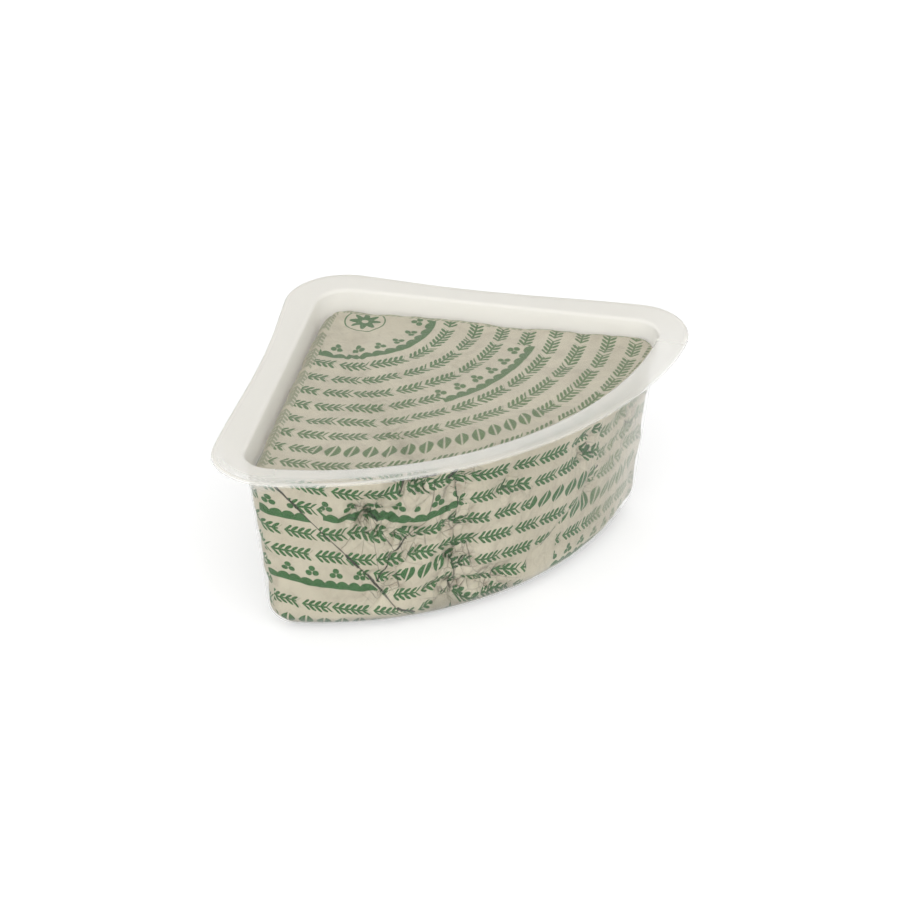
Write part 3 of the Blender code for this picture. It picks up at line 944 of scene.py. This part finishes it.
def side_print(tree, crumple):
    """Ink, its paling where the foil is hazy, and painted shade in the folds' gaps and at the foot, on the
    sides.
    """
    along, height = print_place(tree)
    flap, rising, fold = (
        [[number * MILLIMETRES for number in end] for end in line]
        for line in (LEFT_FLAP_EDGE, RISING_FOLD, RIGHT_FOLD_EDGE)
    )
    on_round = abs(along).is_under(ROUND_SIDE_END)
    left = above_line(along, height, flap).is_under(0.0) * along.is_under(0.0)
    centre = left.against(1.0) * along.is_under(MIDDLE_CREASE * MILLIMETRES)
    past_rising = centre * above_line(along, height, rising).is_under(0.0)
    under_fold = above_line(along, height, fold).is_under(0.0) * along.is_over(RIGHT_FOLD_FOOT * MILLIMETRES)
    right = under_fold.most(along.is_over(RIGHT_FOLD_HEAD * MILLIMETRES))
    front = (left + centre + right).against(1.0).most(0.0)

    coordinates = tree.nodes.new("ShaderNodeTexCoord").outputs["Object"]
    facet_along, facet_up = facet_shift(tree, coordinates, FACETS_PER_METRE)
    hard = crumple.stretched(*FACETS_WHERE_CRUMPLED)
    printed_along = along + facet_along * hard * FACET_SHIFT[0] + past_rising * RISING_SHIFT[0]
    printed_up = height + facet_up * hard * FACET_SHIFT[1] + past_rising * RISING_SHIFT[1]

    def sloped(panel):
        return (printed_along - panel["from"]) * panel["slope"] - panel["row"]

    from_centre = printed_along - PANEL_CENTRE["from"]
    bowed = from_centre * from_centre * -PANEL_CENTRE["bow"] - PANEL_CENTRE["row"]
    row_place = left * sloped(PANEL_LEFT) + centre * bowed
    row_place = row_place + front * sloped(PANEL_FRONT) + right * sloped(PANEL_RIGHT)
    row_place = row_place * on_round + on_round.against(1.0) * -PANEL_STRAIGHT["row"]
    row_place = row_place + printed_up
    for panel, share in ((PANEL_LEFT, left * on_round), (PANEL_CENTRE, centre)):
        under = row_place.against((panel["over_gap"] - 0.5) * ROW_PITCH).most(0.0)
        moved = under.least(panel["drop"]) if panel["drop"] > 0 else under.is_over(0.0) * panel["drop"]
        row_place = row_place + moved * share
    row, above = row_number(row_place, ROW_PITCH)

    shifted = printed_along + row * ROW_SHIFT
    for name, share in (("left", left), ("centre", centre), ("right", right)):
        shifted = shifted + share * PANEL_SHIFTS[name]
    large = front * row.is_about(-2) * along.is_over(FRONT_LARGE_FROM)
    large = large + centre * row.is_about(-4) * along.is_over(CENTRE_LARGE_FROM)
    large = large + left * row.is_about(-4) * on_round + right * row.is_about(0) * on_round
    bordered = centre * row.is_about(PANEL_CENTRE["border"]) * along.is_over(CENTRE_BORDER_FROM)
    bordered = bordered + left * row.is_about(PANEL_LEFT["border"]).most(row.is_about(1)) * on_round
    bordered = bordered + right * row.is_about(PANEL_RIGHT["border"]) * on_round
    hazy = ((along - HAZY_FROM) / HAZY_OVER).held() * on_round
    ink = printed_rows(shifted, above, large, bordered, hazy * HAZY_SOFTNESS + SIDE_SOFTNESS)

    patch = along.is_between(*PLAIN_PATCH[0]) * height.is_between(*PLAIN_PATCH[1])
    ink = ink * patch.against(1.0) * (hazy * HAZY_FAINTER).against(1.0)
    over_edge = ((height - TOP_EDGE_FROM) / TOP_EDGE_OVER).held() * on_round.against(1.0)
    ink = ink * (over_edge * TOP_EDGE_FAINTER).against(1.0)

    uneven = noise_reading(tree, coordinates, GAP_UNEVEN_PER_METRE, 2.0) - 0.5
    widened = uneven * GAP_UNEVEN + 1.0
    shade = (height / FOOT_SHADE_HEIGHT).against(1.0).held() * on_round * FOOT_SHADE
    # Painted shade: dark lines in the gaps where the folds meet and along the star's creases
    for start, *following in GAP_SHADE_LINES:
        for *end, half_width, darkness in following:
            line = (from_segment(along, height, start, end) - widened * half_width).inked(GAP_SOFTNESS)
            shade = shade.most(line * darkness)
            start = end
    return ink, hazy * HAZY_PALED[0] + HAZY_PALED[1], shade


side_foil = foil_material("foil_on_the_sides", side_print)
top_foil = foil_material("foil_on_the_top", top_print)

# The creases run through the foil in every direction, some at each spacing, and break it into facets
CREASE_SETS = 8
CREASE_DRAW = 11
WANDER_PER_METRE = 34.0
PATCHY_PER_METRE = 42.0
PATCHY_STRETCH = (5.0, 2.1)
PATCHY_SEED = 40.0
STAR_WANDER = 0.9
STAR_WANDER_PER_METRE = 90.0
CREASE_SIZES = {
    "Widest spacing": 0.016,
    "Closest spacing": 0.0044,
    "Facet slope": 0.80,
    "Crease wander": 0.9,
    "Line width": 0.0007,
    "Star slope": 0.60,
    "Seed": 4.0,
}

# Where creases run out from one point: place on the round side, reach, and how many there are
STARS = ((-0.0680, 0.0644, 0.017, 9), (-0.0255, 0.0350, 0.014, 7), (-0.0470, 0.0850, 0.015, 8))


def shaping_noise(tree, place, seed, per_metre):
    """A soft random reading around a half, from a place and a seed."""
    inputs = {"Scale": per_metre, "Detail": 1.0, "Vector": place, "W": seed}
    return Reading(tree, added(tree, "ShaderNodeTexNoise", inputs, noise_dimensions="4D").outputs[0])


def named_reading(tree, name):
    """A number kept at the points of a piece, as the nodes that shape it read it."""
    node = added(tree, "GeometryNodeInputNamedAttribute", {"Name": name}, data_type="FLOAT")
    return Reading(tree, node.outputs["Attribute"])


def crease_set(tree, place, sizes, number, draw):
    """One set of parallel creases: how deep the foil dips between them, and how near the nearest is."""
    closer = sizes["Closest spacing"] / sizes["Widest spacing"]
    spacing = closer.worked("POWER", number / (CREASE_SETS - 1)) * sizes["Widest spacing"]
    direction = draw.normal(size=3)
    direction = tuple(direction / np.linalg.norm(direction))
    across_set = added(tree, "ShaderNodeVectorMath", {0: place, 1: direction}, operation="DOT_PRODUCT")
    seed = sizes["Seed"] + float(number)
    wander = (shaping_noise(tree, place, seed, WANDER_PER_METRE) - 0.5) * sizes["Crease wander"]
    run = Reading(tree, across_set.outputs["Value"]) / spacing + wander + draw.random()
    dip = run.worked("PINGPONG", 0.5)
    patch = shaping_noise(tree, place, seed + PATCHY_SEED, PATCHY_PER_METRE).stretched(*PATCHY_STRETCH)
    nearest = dip.least(dip.against(0.5)) * spacing
    line = (nearest / sizes["Line width"]).against(1.0).held() * patch
    return dip * spacing * patch * sizes["Facet slope"], line


def star_creases(tree, place, sizes, star):
    """Creases that run out from one point: how deep the foil dips between them, and how near a crease is."""
    spot_across, spot_up, reach, folds = star
    split = added(tree, "ShaderNodeSeparateXYZ", {"Vector": place})
    aside = named_reading(tree, "across") - spot_across
    above = Reading(tree, split.outputs["Z"]) - spot_up
    distance = step_length(aside, above)
    turn = above.worked("ARCTAN2", aside) * (folds / (2 * math.pi))
    wander = (shaping_noise(tree, place, sizes["Seed"], STAR_WANDER_PER_METRE) - 0.5) * STAR_WANDER
    dip = (turn + wander).worked("PINGPONG", 0.5)
    fading = (distance / reach).against(1.0).held()
    nearest = dip.least(dip.against(0.5)) * distance * (2 * math.pi / folds)
    line = (nearest / sizes["Line width"]).against(1.0).held() * fading
    return dip * distance * fading * sizes["Star slope"], line


def creased_foil_tree():
    """The nodes that press the creases into the foil and keep where they run."""
    tree = bpy.data.node_groups.new("creased_foil", "GeometryNodeTree")
    tree.is_modifier = True
    tree.interface.new_socket("Geometry", in_out="INPUT", socket_type="NodeSocketGeometry")
    for name in CREASE_SIZES:
        tree.interface.new_socket(name, in_out="INPUT", socket_type="NodeSocketFloat")
    tree.interface.new_socket("Geometry", in_out="OUTPUT", socket_type="NodeSocketGeometry")
    given = tree.nodes.new("NodeGroupInput")
    result = tree.nodes.new("NodeGroupOutput")
    sizes = {name: Reading(tree, given.outputs[name]) for name in CREASE_SIZES}
    place = tree.nodes.new("GeometryNodeInputPosition").outputs[0]
    normal = tree.nodes.new("GeometryNodeInputNormal").outputs[0]
    strength = named_reading(tree, "crumple")

    draw = np.random.default_rng(CREASE_DRAW)
    depth, lines = crease_set(tree, place, sizes, 0, draw)
    for number in range(1, CREASE_SETS):
        further, line = crease_set(tree, place, sizes, number, draw)
        depth = depth + further
        lines = lines.most(line)
    depth = depth * strength
    lines = lines * strength.worked("SQRT")
    for star in STARS:
        further, line = star_creases(tree, place, sizes, star)
        depth = depth + further
        lines = lines.most(line)

    kept = added(
        tree,
        "GeometryNodeStoreNamedAttribute",
        {"Name": "crease", "Geometry": given.outputs["Geometry"], "Value": lines},
        data_type="FLOAT",
        domain="POINT",
    )
    inward = added(tree, "ShaderNodeVectorMath", {0: normal, "Scale": depth * -1.0}, operation="SCALE")
    moves = {"Geometry": kept.outputs["Geometry"], "Offset": inward.outputs[0]}
    pressed = added(tree, "GeometryNodeSetPosition", moves)
    joined = added(tree, "GeometryNodeRealizeInstances", {"Geometry": pressed.outputs["Geometry"]})
    on_side = added(tree, "GeometryNodeInputNamedAttribute", {"Name": "on_side"}, data_type="BOOLEAN")
    covered = {"Geometry": joined.outputs["Geometry"], "Material": top_foil}
    on_top = added(tree, "GeometryNodeSetMaterial", covered)
    covered = {
        "Geometry": on_top.outputs["Geometry"],
        "Selection": on_side.outputs["Attribute"],
        "Material": side_foil,
    }
    on_sides = added(tree, "GeometryNodeSetMaterial", covered)
    tree.links.new(on_sides.outputs["Geometry"], result.inputs["Geometry"])
    return tree


creasing = foil_wrap.modifiers.new("creased_foil", "NODES")
creasing.node_group = creased_foil_tree()
for item in creasing.node_group.interface.items_tree:
    if item.name in CREASE_SIZES:
        creasing[item.identifier] = CREASE_SIZES[item.name]
made_plain(foil_wrap)
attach(foil_wrap, "root")
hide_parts("wrapped_cheese")

# The film over the mouth
# A thin clear film, drawn tight and sealed on the rim. It is flat, with the slightest ripples from the seal.

FILM_THICKNESS = 0.00008
FILM_LIFT = 0.00004
FILM_SETBACK = 0.0021
FILM_RINGS = 30
FILM_RIPPLE = 0.00010
FILM_COLOUR = (0.90, 0.90, 0.87, 1.0)
FILM_SHOWS = 0.032
FILM_ROUGHNESS = 0.10


def film_rings():
    """The film's underside, from its cut edge to its middle."""
    underside = PACK_HEIGHT + FILM_LIFT
    edge = placed(MOUTH + MOUTH_DIRECTIONS * (RIM_WIDTHS - FILM_SETBACK)[:, None], underside)
    inner = placed(MOUTH, underside)
    centre = inner.mean(axis=0)
    rings = [edge]
    turns = np.linspace(0, 2 * math.pi, len(MOUTH), endpoint=False)
    for step in range(FILM_RINGS):
        share = 1 - step / FILM_RINGS
        ring = centre + (inner - centre) * share
        ripple = (np.sin(turns * 23) + np.sin(turns * 14 + 2)) / 2
        ring[:, 2] -= FILM_RIPPLE * (1 - share) * (1 + share * ripple)
        rings.append(ring)
    return rings


rings = film_rings()
sealed_film = linked("sealed_film", rings_mesh("sealed_film", rings, [rings[-1].mean(axis=0)]))
thickened(sealed_film, FILM_THICKNESS, 1.0)
clear_film, tree, surface = new_finish("clear_film")
with_inputs(surface, {"Base Color": FILM_COLOUR, "Roughness": FILM_ROUGHNESS, "Alpha": FILM_SHOWS})
sealed_film.data.materials.append(clear_film)
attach(sealed_film, "root")
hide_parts("lid_film")

# The table, the light and the camera
# A plain pale sheet to stand on, which glows a little so that it stays white, a soft white surround that is
# brighter where the studio's large light stands, and the long lens that took the picture.

TABLE_SIZE = 6.0
TABLE_COLOUR = (0.62, 0.62, 0.62, 1.0)
TABLE_ROUGHNESS = 0.9
TABLE_GLOW = 0.46
WHITE = (1.0, 1.0, 1.0, 1.0)
SURROUND_STRENGTH = 0.72
LIGHT_STRENGTH = 1.46
LIGHT_DIRECTION = (-0.52, -0.80, 0.30)
LIGHT_EDGE = 0.45
LIGHT_MIDDLE = 0.95
LIGHT_SOFTNESS = 0.2
LAMP_PLACE = (-0.9, -1.2, 1.5)
LAMP_SIZE = 1.2
LAMP_POWER = 4.0
CAMERA_PLACE = (-0.9740, -1.5258, 1.1616)
CAMERA_TARGET = (-0.0244, -0.0652, 0.0898)
CAMERA_LENS = 180.0
CAMERA_SENSOR = 36.0

table_mesh = bpy.data.meshes.new("table")
half = TABLE_SIZE / 2
table_mesh.from_pydata(
    [(-half, -half, 0.0), (half, -half, 0.0), (half, half, 0.0), (-half, half, 0.0)], [], [(0, 1, 2, 3)]
)
table = linked("table", table_mesh)
table_paint, tree, surface = new_finish("pale_table")
with_inputs(surface, {
    "Base Color": TABLE_COLOUR,
    "Roughness": TABLE_ROUGHNESS,
    "Emission Color": WHITE,
    "Emission Strength": TABLE_GLOW,
})
table.data.materials.append(table_paint)

surround = bpy.data.worlds.new("surround")
bpy.context.scene.world = surround
surround.use_nodes = True
tree = surround.node_tree
towards = tree.nodes.new("ShaderNodeTexCoord").outputs["Generated"]
light_way = Vector(LIGHT_DIRECTION).normalized()
facing = added(tree, "ShaderNodeVectorMath", {0: towards, 1: light_way}, operation="DOT_PRODUCT")
in_light = ((Reading(tree, facing.outputs["Value"]) - LIGHT_EDGE) / (LIGHT_MIDDLE - LIGHT_EDGE)).held()
strength = in_light.worked("SMOOTH_MIN", 1.0, LIGHT_SOFTNESS) * LIGHT_STRENGTH + SURROUND_STRENGTH
with_inputs(tree.nodes["Background"], {"Strength": strength, "Color": WHITE})


def looking(place, target):
    """The turn that points an object's own -Z at a target."""
    return (Vector(target) - Vector(place)).to_track_quat("-Z", "Y").to_euler()


lamp_data = bpy.data.lights.new("soft_lamp", "AREA")
lamp_data.size = LAMP_SIZE
lamp_data.energy = LAMP_POWER
lamp = linked("soft_lamp", lamp_data)
lamp.location = LAMP_PLACE
lamp.rotation_euler = looking(LAMP_PLACE, CAMERA_TARGET)

camera_data = bpy.data.cameras.new("camera")
camera_data.lens = CAMERA_LENS
camera_data.sensor_width = CAMERA_SENSOR
camera = linked("camera", camera_data)
camera.location = CAMERA_PLACE
camera.rotation_euler = looking(CAMERA_PLACE, CAMERA_TARGET)
bpy.context.scene.camera = camera
bpy.context.scene.view_settings.view_transform = "Standard"
